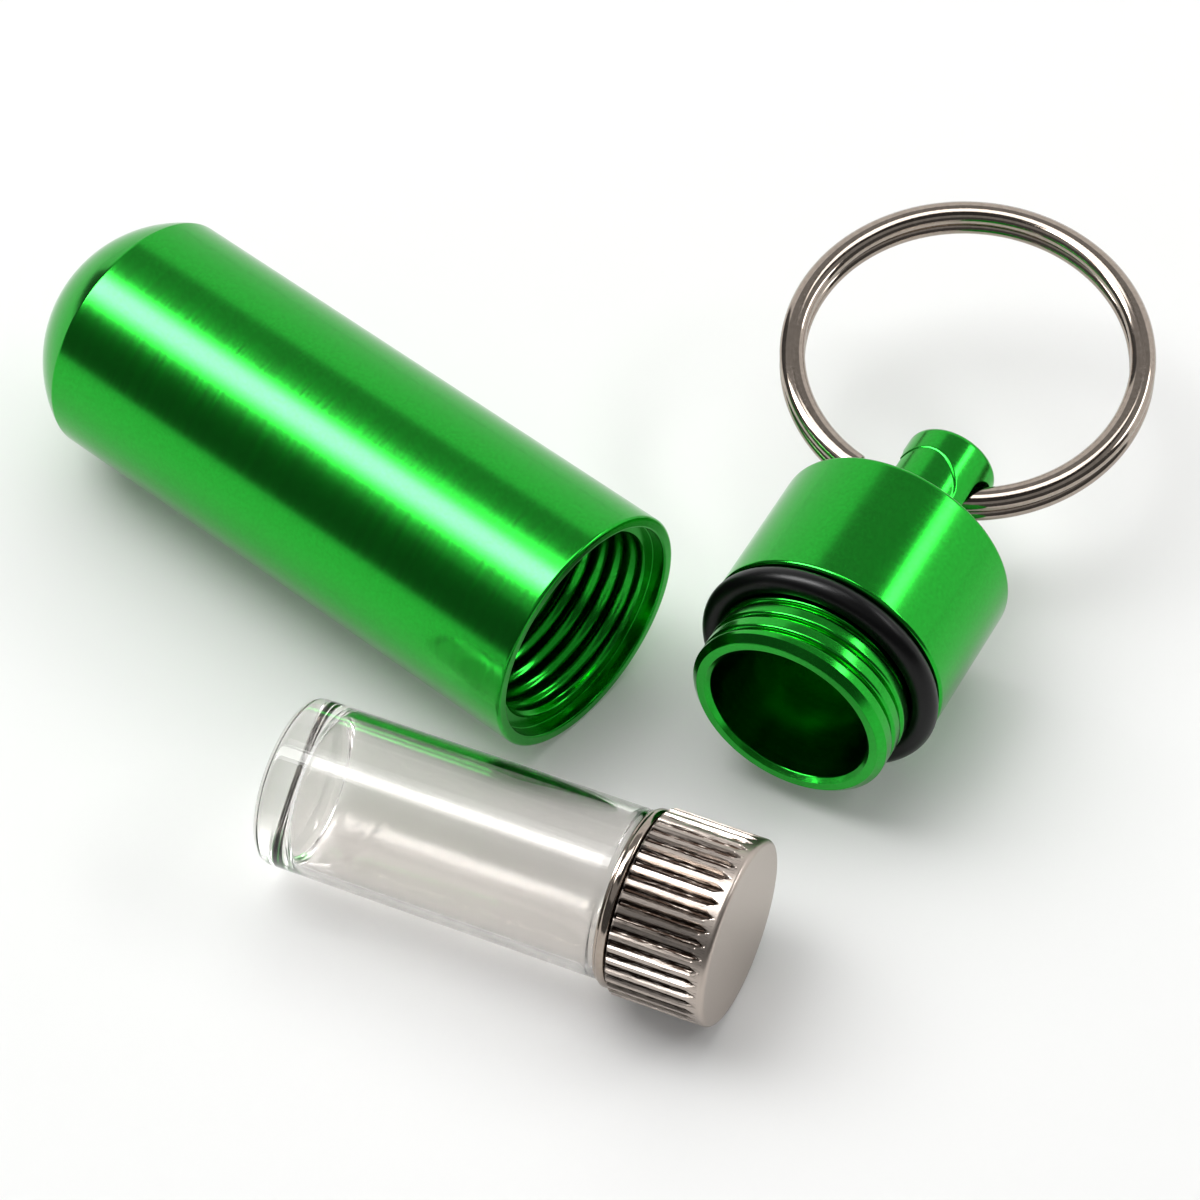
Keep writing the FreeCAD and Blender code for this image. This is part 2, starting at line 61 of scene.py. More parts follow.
seat_root_round = 0.08
pocket_edge_round = 0.1
pocket_floor_round = 1.5
pocket_floor = 4.0
pocket_radius = capsule_radius - 2.15
thread_radius = capsule_radius - 1.6
seat_radius = capsule_radius - 0.8
seat_bottom = capsule_length - 1.0
capsule_thread_start = 37.0
thread_pitch = 1.2
thread_rows = 24
turned_columns = 192
capsule_thread_depth = 0.27


def linear(colour):
    """Linear RGBA of an sRGB hex colour."""
    parts = [int(colour[at:at + 2], 16) / 255 for at in (1, 3, 5)]
    return [part / 12.92 if part <= 0.04045 else ((part + 0.055) / 1.055) ** 2.4 for part in parts] + [1.0]


def add_node(tree, kind, sockets, **settings):
    """Adds a node, sets its properties, and gives each named socket its value or its link."""
    node = tree.nodes.new(kind)
    for name, value in settings.items():
        setattr(node, name, value)
    for socket, value in sockets.items():
        if isinstance(value, bpy.types.NodeSocket):
            tree.links.new(value, node.inputs[socket])
        else:
            node.inputs[socket].default_value = value
    return node


def empty_material(name):
    """A new material whose node tree has no nodes yet."""
    material = bpy.data.materials.new(name)
    material.use_nodes = True
    material.node_tree.nodes.clear()
    return material


def outline_through(corners, steps=6):
    """Outline through corners of (along, out). A third item is the radius that the corner is rounded to."""
    points = []
    for index, (along, out, *rounding) in enumerate(corners):
        corner = Vector((along, out))
        if not rounding:
            points.append(corner)
            continue
        radius = rounding[0]
        before = (Vector(corners[index - 1][:2]) - corner).normalized()
        after = (Vector(corners[index + 1][:2]) - corner).normalized()
        half = before.angle(after) / 2
        reach = radius / math.tan(half)
        guard = reach * 1.2
        centre = corner + (before + after).normalized() * radius / math.sin(half)
        first = corner + before * reach - centre
        last = corner + after * reach - centre
        points.append(corner + before * guard)
        turns = [first.slerp(last, step / steps).normalized() for step in range(steps + 1)]
        points += [centre + turn * radius for turn in turns]
        points.append(corner + after * guard)
    return points


def turned_mesh(name, outline, columns, carve=None):
    """Turns an outline in mm about the X axis. carve(along, out, angle) says how far the radius changes."""
    vertices = []
    rows = []
    for along, out in outline:
        row = []
        for column in range(columns if out > 0 else 1):
            angle = 2 * math.pi * column / columns
            radius = out + (carve(along, out, angle) if carve else 0)
            row.append(len(vertices))
            vertices.append((along * mm, radius * math.cos(angle) * mm, radius * math.sin(angle) * mm))
        rows.append(row)
    faces = []
    for row, following in zip(rows, rows[1:]):
        for column in range(columns):
            ahead = column + 1
            corners = (row[column % len(row)], row[ahead % len(row)],
                       following[ahead % len(following)], following[column % len(following)])
            faces.append(tuple(dict.fromkeys(corners)))
    mesh = bpy.data.meshes.new(name)
    mesh.from_pydata(vertices, [], faces)
    return tidy_mesh(mesh)


def tidy_mesh(mesh):
    """Joins doubled points, turns every face outwards, and shades round stretches smooth."""
    shape = bmesh.new()
    shape.from_mesh(mesh)
    bmesh.ops.remove_doubles(shape, verts=shape.verts, dist=0.0002 * mm)
    bmesh.ops.recalc_face_normals(shape, faces=shape.faces)
    shape.to_mesh(mesh)
    shape.free()
    mesh.shade_smooth()
    mesh.set_sharp_from_angle(angle=math.radians(32))
    return mesh


def axis_frame(start, direction):
    """Matrix that lays a piece's X axis along a direction and keeps its Y axis level."""
    along = Vector(direction).normalized()
    level = Vector((0, 0, 1)).cross(along).normalized()
    matrix = Matrix((along, level, along.cross(level))).transposed().to_4x4()
    matrix.translation = start
    return matrix


def show_piece(name, mesh, matrix, material):
    """Puts a mesh into the scene as a piece of one material."""
    piece = bpy.data.objects.new(name, mesh)
    bpy.context.collection.objects.link(piece)
    piece.matrix_world = matrix
    mesh.materials.clear()
    mesh.materials.append(material)
    return piece


def capsule_thread(along, out, angle):
    """The inside thread: a rounded ridge that winds round the bore and fades out at both ends."""
    if out > thread_radius + 0.01 or not capsule_thread_start < along < seat_bottom:
        return 0
    winding = math.cos(2 * math.pi * (along - seat_bottom) / thread_pitch - angle)
    crest = 0.5 + 0.5 * winding
    fade = min(1, along - capsule_thread_start, (seat_bottom - along) / 0.4)
    return -capsule_thread_depth * crest * fade


dome_radius = (capsule_radius**2 + dome_height**2) / (2 * dome_height)
dome_angle = math.asin(capsule_radius / dome_radius)
dome_turns = [dome_angle * step / dome_steps for step in range(dome_steps)]
capsule_rows = int((seat_bottom - capsule_thread_start) * thread_rows / thread_pitch)
capsule_outline = outline_through(
    [(dome_radius * (1 - math.cos(turn)), dome_radius * math.sin(turn)) for turn in dome_turns]
    + [
        (dome_height, capsule_radius, dome_edge_round),
        (capsule_length, capsule_radius, mouth_round),
        (capsule_length, seat_radius, seat_edge_round),
        (seat_bottom, seat_radius, seat_root_round),
    ]
    + [(seat_bottom - row * thread_pitch / thread_rows, thread_radius) for row in range(capsule_rows + 1)]
    + [
        (capsule_thread_start, pocket_radius, pocket_edge_round),
        (pocket_floor, pocket_radius, pocket_floor_round),
        (pocket_floor, 0),
    ])
capsule_mesh = turned_mesh("turned_capsule", capsule_outline, turned_columns, capsule_thread)

# Anodised aluminium: clear oxide with green dye over bright metal. The eye gets a mirror that is softened by
# fine rings from the lathe, a whiter gloss from the clear skin, and tiny specks where the dye took unevenly.
anodised_aluminium = empty_material("anodised_aluminium_green")
tree = anodised_aluminium.node_tree
place = add_node(tree, "ShaderNodeTexCoord", {})
lathe_ring = 0.22 * mm
ring_run = 14 * mm
ring_place = add_node(tree, "ShaderNodeMapping", {
    "Vector": place.outputs["Object"], "Scale": (1 / lathe_ring, 1 / ring_run, 1 / ring_run)})
rings = add_node(tree, "ShaderNodeTexNoise", {
    "Vector": ring_place.outputs["Vector"], "Scale": 1.0, "Detail": 3.0, "Roughness": 0.6})
speck = 0.22 * mm
specks = add_node(tree, "ShaderNodeTexNoise", {
    "Vector": place.outputs["Object"], "Scale": 1 / speck, "Detail": 2.0})
dye = add_node(tree, "ShaderNodeValToRGB", {"Fac": specks.outputs["Fac"]})
dye.color_ramp.elements[0].position = 0.3
dye.color_ramp.elements[0].color = linear("#01A01A")
dye.color_ramp.elements[1].position = 0.7
dye.color_ramp.elements[1].color = linear("#05AC23")
polish = add_node(tree, "ShaderNodeMapRange", {
    "Value": rings.outputs["Fac"], "From Min": 0.3, "From Max": 0.7, "To Min": 0.15, "To Max": 0.2})
tool_marks = add_node(tree, "ShaderNodeBump", {
    "Height": rings.outputs["Fac"], "Strength": 0.4, "Distance": 0.005 * mm})
round_axis = add_node(tree, "ShaderNodeTangent", {}, direction_type="RADIAL", axis="X")
metal = add_node(tree, "ShaderNodeBsdfPrincipled", {
    "Base Color": dye.outputs["Color"], "Metallic": 1.0, "Roughness": polish.outputs["Result"],
    "Anisotropic": 0.35, "Tangent": round_axis.outputs["Tangent"], "Specular Tint": linear("#DAE9DA"),
    "Coat Weight": 0.45, "Coat Roughness": 0.2, "Coat IOR": 1.5, "Normal": tool_marks.outputs["Normal"]})
add_node(tree, "ShaderNodeOutputMaterial", {"Surface": metal.outputs["BSDF"]})

capsule_axis = Vector(mounts["capsule_bore"]["axis"])
capsule_tip = Vector(mounts["capsule_bore"]["pos_m"]) - capsule_axis * capsule_bore_middle * mm
capsule_frame = axis_frame(capsule_tip, capsule_axis)
capsule = show_piece("turned_capsule", capsule_mesh, capsule_frame, anodised_aluminium)
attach(capsule, "capsule")
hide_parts("capsule_body")

# Glass vial: a length of drawn tube with a thick flat base, drawn in at the mouth to a neck that the collar
# is bonded to. It is clear and empty.
joints = {joint["name"]: joint for joint in frame["record"]["behaviour"]["joints"]}
vial_base = Vector(joints["screw_cap_turn"]["pos_m"])
vial_axis = Vector(joints["screw_cap_turn"]["axis"])
vial_frame = axis_frame(vial_base, vial_axis)
glass_radius = 5.5
glass_inside = 4.95
glass_base = 2.2
glass_length = 23.3
glass_neck = 4.6
glass_neck_inside = 3.65
glass_mouth = 28.9
glass_shoulder = 0.6
glass_shoulder_round = 0.8
glass_foot_round = 0.8
glass_well_round = 0.75
vial_columns = 160
glass_outline = outline_through([
    (0, 0),
    (0, glass_radius, glass_foot_round),
    (glass_length, glass_radius, 0.35),
    (glass_length, glass_neck, 0.2),
    (glass_mouth, glass_neck, 0.3),
    (glass_mouth, glass_neck_inside, 0.3),
    (glass_length + glass_shoulder, glass_neck_inside, glass_shoulder_round),
    (glass_length - glass_shoulder, glass_inside, glass_shoulder_round),
    (glass_base, glass_inside, glass_well_round),
    (glass_base, 0),
], steps=10)
glass_mesh = turned_mesh("drawn_glass_vial", glass_outline, vial_columns)

# Borosilicate glass: clear, with the faint lengthwise waves of a drawn tube and a slight painted grey shade.
# The eye gets bright and dark lines where the walls bend the view, and soft, weak highlights.
borosilicate_glass = empty_material("borosilicate_glass")
tree = borosilicate_glass.node_tree
place = add_node(tree, "ShaderNodeTexCoord", {})
wave_length = 22 * mm
wave_width = 2.5 * mm
wave_place = add_node(tree, "ShaderNodeMapping", {
    "Vector": place.outputs["Object"], "Scale": (1 / wave_length, 1 / wave_width, 1 / wave_width)})
waves = add_node(tree, "ShaderNodeTexNoise", {"Vector": wave_place.outputs["Vector"], "Scale": 1.0})
draw_lines = add_node(tree, "ShaderNodeBump", {
    "Height": waves.outputs["Fac"], "Strength": 0.2, "Distance": 0.02 * mm})
# The base colour's slight grey is painted shade, standing in for the grey that reflections give the glass.
glass = add_node(tree, "ShaderNodeBsdfPrincipled", {
    "Base Color": linear("#EDEBE9"), "Roughness": 0.01, "IOR": 1.42, "Transmission Weight": 1.0,
    "Specular Tint": linear("#B4B4B4"), "Normal": draw_lines.outputs["Normal"]})
add_node(tree, "ShaderNodeOutputMaterial", {"Surface": glass.outputs["BSDF"]})

vial = show_piece("drawn_glass_vial", glass_mesh, vial_frame, borosilicate_glass)
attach(vial, "vial")
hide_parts("vial_tube")

# Collar: a brass sleeve, nickel plated and bonded to the neck of the glass. Its thread takes the screw cap
# and its polished bead covers the shoulder of the glass.
collar_inside = 4.63
collar_radius = 5.1
bead_start = glass_length + 0.03
bead_radius = 5.8
bead_lip = 0.2
bead_lip_length = 0.18
bead_end = bead_start + 0.9
collar_thread_start = bead_end + 0.4
collar_thread_end = glass_mouth - 0.3
collar_thread_depth = 0.22
collar_rows = int((collar_thread_end - collar_thread_start) * thread_rows / thread_pitch)


def collar_thread(along, out, angle):
    """The outside thread of the collar: a rounded groove that fades out at both ends."""
    if abs(out - collar_radius) > 0.01 or not collar_thread_start < along < collar_thread_end:
        return 0
    winding = math.cos(2 * math.pi * along / thread_pitch - angle)
    fade = min(1, (along - collar_thread_start) / 0.5, (collar_thread_end - along) / 0.5)
    return -collar_thread_depth * (0.5 + 0.5 * winding) * fade


collar_row = thread_pitch / thread_rows
collar_outline = outline_through([
    (bead_start, collar_inside),
    (bead_start, bead_radius - bead_lip, 0.1),
    (bead_start + bead_lip_length, bead_radius - bead_lip),
    (bead_start + bead_lip_length, bead_radius, 0.26),
    (bead_end, bead_radius, 0.3),
    (bead_end, collar_radius, 0.1),
] + [(collar_thread_start + row * collar_row, collar_radius) for row in range(collar_rows + 1)]
    + [
    (glass_mouth, collar_radius, 0.15),
    (glass_mouth, collar_inside),
    (bead_start, collar_inside),
])
collar_mesh = turned_mesh("plated_collar", collar_outline, vial_columns, collar_thread)

# Bright nickel plate: warm white metal, polished before plating. The eye gets a nearly clean mirror with a
# yellowish cast and hairlines from handling.
bright_nickel = empty_material("bright_nickel_plate")
tree = bright_nickel.node_tree
place = add_node(tree, "ShaderNodeTexCoord", {})
hairline = 0.3 * mm
hairlines = add_node(tree, "ShaderNodeTexNoise", {
    "Vector": place.outputs["Object"], "Scale": 1 / hairline, "Detail": 4.0})
nickel_tone = add_node(tree, "ShaderNodeValToRGB", {"Fac": hairlines.outputs["Fac"]})
nickel_tone.color_ramp.elements[0].position = 0.3
nickel_tone.color_ramp.elements[0].color = linear("#A2968B")
nickel_tone.color_ramp.elements[1].position = 0.7
nickel_tone.color_ramp.elements[1].color = linear("#AEA297")
nickel_polish = add_node(tree, "ShaderNodeMapRange", {
    "Value": hairlines.outputs["Fac"], "From Min": 0.3, "From Max": 0.7, "To Min": 0.09, "To Max": 0.11})
nickel_dents = add_node(tree, "ShaderNodeBump", {
    "Height": hairlines.outputs["Fac"], "Strength": 0.03, "Distance": 0.004 * mm})
nickel = add_node(tree, "ShaderNodeBsdfPrincipled", {
    "Base Color": nickel_tone.outputs["Color"], "Metallic": 1.0,
    "Roughness": nickel_polish.outputs["Result"], "Normal": nickel_dents.outputs["Normal"]})
add_node(tree, "ShaderNodeOutputMaterial", {"Surface": nickel.outputs["BSDF"]})

collar = show_piece("plated_collar", collar_mesh, vial_frame, bright_nickel)
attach(collar, "vial")
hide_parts("vial_collar")

# Liner: a soft rubber disc, punched from sheet and pushed up into the screw cap, where it closes the mouth
# of the glass. It keeps its plain turned shape.
# Nitrile rubber: black and moulded, with a satin skin. The eye gets a soft grey sheen and a fine grain.
nitrile_rubber = empty_material("nitrile_rubber_black")
tree = nitrile_rubber.node_tree
place = add_node(tree, "ShaderNodeTexCoord", {})
rubber_grain = 0.12 * mm
grain = add_node(tree, "ShaderNodeTexNoise", {
    "Vector": place.outputs["Object"], "Scale": 1 / rubber_grain, "Detail": 3.0})
rubber_tone = add_node(tree, "ShaderNodeValToRGB", {"Fac": grain.outputs["Fac"]})
rubber_tone.color_ramp.elements[0].position = 0.35
rubber_tone.color_ramp.elements[0].color = linear("#040405")
rubber_tone.color_ramp.elements[1].position = 0.75
rubber_tone.color_ramp.elements[1].color = linear("#0A0A0B")
rubber_skin = add_node(tree, "ShaderNodeBump", {
    "Height": grain.outputs["Fac"], "Strength": 0.25, "Distance": 0.01 * mm})
rubber = add_node(tree, "ShaderNodeBsdfPrincipled", {
    "Base Color": rubber_tone.outputs["Color"], "Roughness": 0.32, "IOR": 1.52, "Specular IOR Level": 0.2,
    "Normal": rubber_skin.outputs["Normal"]})
add_node(tree, "ShaderNodeOutputMaterial", {"Surface": rubber.outputs["BSDF"]})
for slot in frame["nodes"]["vial_cap_liner"].material_slots:
    slot.material = nitrile_rubber

# Screw cap of the vial: turned brass with a straight knurl rolled round it, and nickel plated.
# Its closed end is turned smooth.
screw_radius = 6.05
screw_bore = 5.2
screw_start = bead_end + 0.12
screw_end = screw_start + 6.48
screw_roof = screw_end - 1.2
screw_round = 0.33
screw_edge = 0.12
knurl_count = 42
knurl_columns = 20
knurl_half = 0.34
knurl_depth = 0.32
knurl_fullness = 2.2
knurl_end = screw_end - 0.5
knurl_run_out = 0.65
knurl_run_out_rows = 12


def knurl(along, out, angle):
    """The straight knurl: flat bars and grooves, which narrow to a point at the smooth end."""
    turn = knurl_count * angle / (2 * math.pi)
    run_out = min(1, (knurl_end - along) / knurl_run_out)
    half = knurl_half * run_out
    apart = abs(turn - round(turn))
    if out < screw_radius - 0.01 or apart >= half:
        return 0
    return -knurl_depth * (1 - (apart / half) ** knurl_fullness) * min(1, 1.6 * run_out)


screw_outline = outline_through([
    (screw_roof, 0),
    (screw_roof, screw_bore, 0.2),
    (screw_start, screw_bore, 0.1),
    (screw_start, screw_radius - screw_edge),
    (screw_start + screw_edge, screw_radius),
] + [
    (knurl_end - knurl_run_out * (1 - row / knurl_run_out_rows), screw_radius)
    for row in range(knurl_run_out_rows + 1)
] + [
    (screw_end, screw_radius, screw_round),
    (screw_end, 0),
], steps=8)
screw_mesh = turned_mesh("knurled_screw_cap", screw_outline, knurl_count * knurl_columns, knurl)

# Nickel plate, coloured brown-black deep in the knurl and warm satin grey towards the tops of the bars, with
# random streaks along them. The eye gets warm satin grey bars with brown-black roots, and a smooth end with
# a fine sand-like grain.
knurled_nickel = empty_material("knurled_nickel_plate")
tree = knurled_nickel.node_tree
place = add_node(tree, "ShaderNodeTexCoord", {})
apart = add_node(tree, "ShaderNodeSeparateXYZ", {"Vector": place.outputs["Object"]})
across = add_node(tree, "ShaderNodeCombineXYZ", {"Y": apart.outputs["Y"], "Z": apart.outputs["Z"]})
reach = add_node(tree, "ShaderNodeVectorMath", {0: across.outputs["Vector"]}, operation="LENGTH")
# Share of the grey by depth: none in the knurl's roots, all of it near the tops of the bars.
crest_share = add_node(tree, "ShaderNodeMapRange", {
    "Value": reach.outputs["Value"],
    "From Min": (screw_radius - 0.26) * mm, "From Max": (screw_radius - 0.08) * mm})
smooth_end = add_node(tree, "ShaderNodeMapRange", {
    "Value": apart.outputs["X"], "From Min": knurl_end * mm, "From Max": (knurl_end + 0.1) * mm})
stain_run = 0.8 * mm
stain_width = 0.07 * mm
stain_place = add_node(tree, "ShaderNodeMapping", {
    "Vector": place.outputs["Object"], "Scale": (1 / stain_run, 1 / stain_width, 1 / stain_width)})
stains = add_node(tree, "ShaderNodeTexNoise", {
    "Vector": stain_place.outputs["Vector"], "Scale": 1.0, "Detail": 5.0})
worn = add_node(tree, "ShaderNodeMath", {
    0: stains.outputs["Fac"], 1: 3.2, 2: -1.6}, operation="MULTIPLY_ADD")
streaked = add_node(tree, "ShaderNodeMath", {
    0: crest_share.outputs["Result"], 1: worn.outputs["Value"]}, operation="ADD")
grey_share = add_node(tree, "ShaderNodeMath", {
    0: streaked.outputs["Value"], 1: smooth_end.outputs["Result"]}, operation="MAXIMUM", use_clamp=True)
# Colour from brown-black where the grey share is low to warm grey on the bars and the smooth end.
root_to_bar_tone = add_node(tree, "ShaderNodeValToRGB", {"Fac": grey_share.outputs["Value"]})
root_to_bar_tone.color_ramp.elements[0].position = 0.1
root_to_bar_tone.color_ramp.elements[0].color = linear("#261D18")
root_to_bar_tone.color_ramp.elements[1].position = 0.85
root_to_bar_tone.color_ramp.elements[1].color = linear("#BAAFA6")
sand = 0.1 * mm
sanding = add_node(tree, "ShaderNodeTexNoise", {
    "Vector": place.outputs["Object"], "Scale": 1 / sand, "Detail": 2.0})
sand_grain = add_node(tree, "ShaderNodeBump", {
    "Height": sanding.outputs["Fac"], "Strength": 0.3, "Distance": 0.012 * mm})
rough_bars = add_node(tree, "ShaderNodeBump", {
    "Height": stains.outputs["Fac"], "Strength": 0.3, "Distance": 0.02 * mm,
    "Normal": sand_grain.outputs["Normal"]})
knurled_metal = add_node(tree, "ShaderNodeBsdfPrincipled", {
    "Base Color": root_to_bar_tone.outputs["Color"], "Metallic": 1.0, "Roughness": 0.32,
    "Normal": rough_bars.outputs["Normal"]})
add_node(tree, "ShaderNodeOutputMaterial", {"Surface": knurled_metal.outputs["BSDF"]})

screw_cap = show_piece("knurled_screw_cap", screw_mesh, vial_frame, knurled_nickel)
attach(screw_cap, "screw_cap")
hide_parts("vial_cap")

# Capsule cap: turned and anodised like the capsule. Its neck has the outside thread and a bore, and its knob
# has two shallow arched reliefs and a slot right through it for the key ring.
cap_bore_middle = 5.575
cap_radius = 8.1
cap_shoulder = 5.6
cap_top = 15.8
neck_radius = 6.8
neck_chamfer = 0.45
neck_thread_depth = 0.32
neck_thread_rows = 44
neck_root_middle = 0.85
neck_root_half = 0.14
groove_start = 3.84
groove_radius = 6.52
cap_bore_radius = 5.5
cap_bore_floor = 11.6
knob_radius = 3.15
knob_tip = 24.4
relief_half = 2.8
relief_top = 22.5
relief_turn = math.radians(20)
relief_depth = 0.06
relief_edge = 0.16
knob_rows = 190
knob_columns = 320
ring_slot_steps = 48
ring_slot_half = 1.714
ring_slot_stretch = 0.75
ring_slot_middle = 20.936


def neck_thread(along, out, angle):
    """The outside thread of the neck: broad flat crests with narrow rounded roots."""
    turn = (along - neck_root_middle) / thread_pitch - angle / (2 * math.pi)
    apart = abs(turn - round(turn)) * thread_pitch
    if abs(out - neck_radius) > 0.01 or not neck_chamfer < along < groove_start:
        return 0
    fade = min(1, (along - neck_chamfer) / 0.2)
    return -neck_thread_depth * math.exp(-((apart / neck_root_half) ** 2)) * fade


def knob_relief(along, out, angle):
    """The two arched reliefs of the knob, with edges that polishing has softened."""
    across = knob_radius * math.cos(angle + relief_turn)
    inside = relief_half - math.hypot(max(0, along - relief_top + relief_half), across)
    if abs(out - knob_radius) > 0.01 or inside < 0:
        return 0
    reach = min(1, inside / relief_edge)
    return -relief_depth * reach * reach * (3 - 2 * reach)


def prism_mesh(name, outline, lift):
    """Straight prism on a closed outline of points in mm."""
    points = [point * mm for point in outline]
    points += [point + lift * mm for point in points]
    count = len(outline)
    sides = [(at, (at + 1) % count, (at + 1) % count + count, at + count) for at in range(count)]
    mesh = bpy.data.meshes.new(name)
    mesh.from_pydata(points, [], sides + [tuple(range(count)), tuple(range(count, 2 * count))])
    return tidy_mesh(mesh)


def combined_mesh(mesh, other, operation):
    """Exact union of two meshes, or the difference of the first and the other."""
    blank = bpy.data.objects.new("blank", mesh)
    tool = bpy.data.objects.new("tool", other)
    bpy.context.collection.objects.link(blank)
    bpy.context.collection.objects.link(tool)
    modifier = blank.modifiers.new("combine", "BOOLEAN")
    modifier.object = tool
    modifier.operation = operation
    modifier.solver = "EXACT"
    result = bpy.data.meshes.new_from_object(blank.evaluated_get(bpy.context.evaluated_depsgraph_get()))
    bpy.data.objects.remove(blank)
    bpy.data.objects.remove(tool)
    return result


neck_rows = int((groove_start - neck_chamfer) * neck_thread_rows / thread_pitch)
neck_row = (groove_start - neck_chamfer) / neck_rows
cap_outline = outline_through([
    (cap_bore_floor, 0),
    (cap_bore_floor, cap_bore_radius, 0.8),
    (0.3, cap_bore_radius, 0.1),
    (0, cap_bore_radius + 0.3, 0.08),
    (0, neck_radius - neck_chamfer, 0.1),
] + [
    (neck_chamfer + neck_row * row, neck_radius) for row in range(neck_rows + 1)
] + [
    (groove_start, groove_radius),
    (cap_shoulder, groove_radius),
    (cap_shoulder, cap_radius, 0.25),
    (cap_top, cap_radius, 0.3),
    (cap_top, 0),
])
cap_mesh = turned_mesh("turned_cap", cap_outline, turned_columns, neck_thread)
knob_straight = knob_tip - 0.5
knob_outline = outline_through([
    (cap_top - 0.5, 0),
    (cap_top - 0.5, knob_radius),
] + [
    (cap_top + (knob_straight - cap_top) * row / knob_rows, knob_radius) for row in range(knob_rows)
] + [
    (knob_tip, knob_radius, 0.4),
    (knob_tip, 0),
])
knob_mesh = turned_mesh("knob", knob_outline, knob_columns, knob_relief)
slot_points = []
for step in range(ring_slot_steps + 1):
    turn = 2 * math.pi * step / ring_slot_steps
    stretch = math.copysign(ring_slot_stretch, math.cos(turn))
    slot_points.append(Vector((ring_slot_middle + stretch + ring_slot_half * math.cos(turn), -4,
                               ring_slot_half * math.sin(turn))))
knob_mesh = combined_mesh(knob_mesh, prism_mesh("slot", slot_points[:-1], Vector((0, 8, 0))), "DIFFERENCE")
cap_mesh = tidy_mesh(combined_mesh(cap_mesh, knob_mesh, "UNION"))

cap_axis = -Vector(mounts["cap_bore"]["axis"])
cap_rim = Vector(mounts["cap_bore"]["pos_m"]) - cap_axis * cap_bore_middle * mm
cap = show_piece("turned_cap", cap_mesh, axis_frame(cap_rim, cap_axis), anodised_aluminium)
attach(cap, "cap")
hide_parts("capsule_cap")

# O-ring: a moulded rubber seal, stretched into the groove under the cap's shoulder. It keeps its round
# section and takes the rubber of the liner.
for slot in frame["nodes"]["o_ring"].material_slots:
    slot.material = nitrile_rubber

# Key ring: flattened spring wire, wound in two turns that lie on each other, nickel plated, and threaded
# through the slot of the knob. One short step carries the wire from the lower turn to the upper one.
ring_line = 11.65
wire_width = 1.7
wire_height = 1.1
turn_rise = 1.14
section_points = 24
climb_start = 516.0
climb_angle = 30.0
wire_start = 187.5
wire_end = 874.5
wire_step = 2.0


def wire_level(degrees):
    """Height of the wire's middle: the lower turn, a smooth climb, and the upper turn."""
    climb = min(max((degrees - climb_start) / climb_angle, 0), 1)
    return turn_rise * (climb * climb * (3 - 2 * climb) - 0.5)


def wire_section(degrees, size):
    """Ring of points round the wire at one place along it: a flattened round."""
    turn = math.radians(degrees)
    points = []
    for at in range(section_points):
        way = 2 * math.pi * at / section_points
        radius = ring_line + math.cos(way) * wire_width / 2 * size
        level = wire_level(degrees) + math.sin(way) * wire_height / 2 * size
        points.append((radius * math.cos(turn) * mm, radius * math.sin(turn) * mm, level * mm))
    return points


wire_places = [(wire_start, 0.8), (wire_start + 0.5, 0.96), (wire_start + 1.2, 1.0)]
wire_count = int((wire_end - wire_start - 2 * wire_step) / wire_step)
wire_places += [(wire_start + wire_step * (step + 1), 1.0) for step in range(wire_count)]
wire_places += [(wire_end - 1.2, 1.0), (wire_end - 0.5, 0.96), (wire_end, 0.8)]
wire_points = [point for degrees, size in wire_places for point in wire_section(degrees, size)]
wire_faces = [tuple(range(section_points))]
for ring in range(len(wire_places) - 1):
    for at in range(section_points):
        here = ring * section_points
        there = here + section_points
        ahead = (at + 1) % section_points
        wire_faces.append((here + at, here + ahead, there + ahead, there + at))
wire_faces.append(tuple(range(len(wire_points) - section_points, len(wire_points))))
ring_mesh = bpy.data.meshes.new("split_key_ring")
ring_mesh.from_pydata(wire_points, [], wire_faces)
ring_mesh = tidy_mesh(ring_mesh)

ring_middle = Vector(mounts["key_loop"]["pos_m"])
ring_normal = Vector(mounts["key_loop"]["axis"]).normalized()
ring_out = ring_middle - Vector(joints["ring_swing"]["pos_m"])
ring_out = (ring_out - ring_normal * ring_out.dot(ring_normal)).normalized()
ring_frame = Matrix((ring_out, ring_normal.cross(ring_out), ring_normal)).transposed().to_4x4()
ring_frame.translation = ring_middle
key_ring = show_piece("split_key_ring", ring_mesh, ring_frame, bright_nickel)
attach(key_ring, "ring")
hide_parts("split_ring")

# Floor: a plain white sweep. Rays from the camera, and those that metal and glass send on, see it a little
# whiter than its lit colour, and it keeps the shadows.
floor_half = 2.0
floor_mesh = bpy.data.meshes.new("studio_floor")
floor_ends = ((-1, -1), (1, -1), (1, 1), (-1, 1))
floor_corners = [(x * floor_half, y * floor_half, -0.02 * mm) for x, y in floor_ends]
floor_mesh.from_pydata(floor_corners, [], [(0, 1, 2, 3)])
white_paper = empty_material("white_paper")
tree = white_paper.node_tree
ray = add_node(tree, "ShaderNodeLightPath", {})
seen = add_node(tree, "ShaderNodeMath", {
    0: ray.outputs["Is Camera Ray"], 1: ray.outputs["Is Glossy Ray"]}, operation="MAXIMUM")
seen_through = add_node(tree, "ShaderNodeMath", {
    0: seen.outputs["Value"], 1: ray.outputs["Is Transmission Ray"]}, operation="MAXIMUM")
lift = add_node(tree, "ShaderNodeMath", {0: seen_through.outputs["Value"], 1: 0.08}, operation="MULTIPLY")
paper = add_node(tree, "ShaderNodeBsdfPrincipled", {
    "Base Color": linear("#EDEDEC"), "Roughness": 0.9, "Specular IOR Level": 0.1,
    "Emission Color": linear("#FFFFFF"), "Emission Strength": lift.outputs["Value"]})
add_node(tree, "ShaderNodeOutputMaterial", {"Surface": paper.outputs["BSDF"]})
floor = bpy.data.objects.new("studio_floor", floor_mesh)
floor_mesh.materials.append(white_paper)
bpy.context.collection.objects.link(floor)

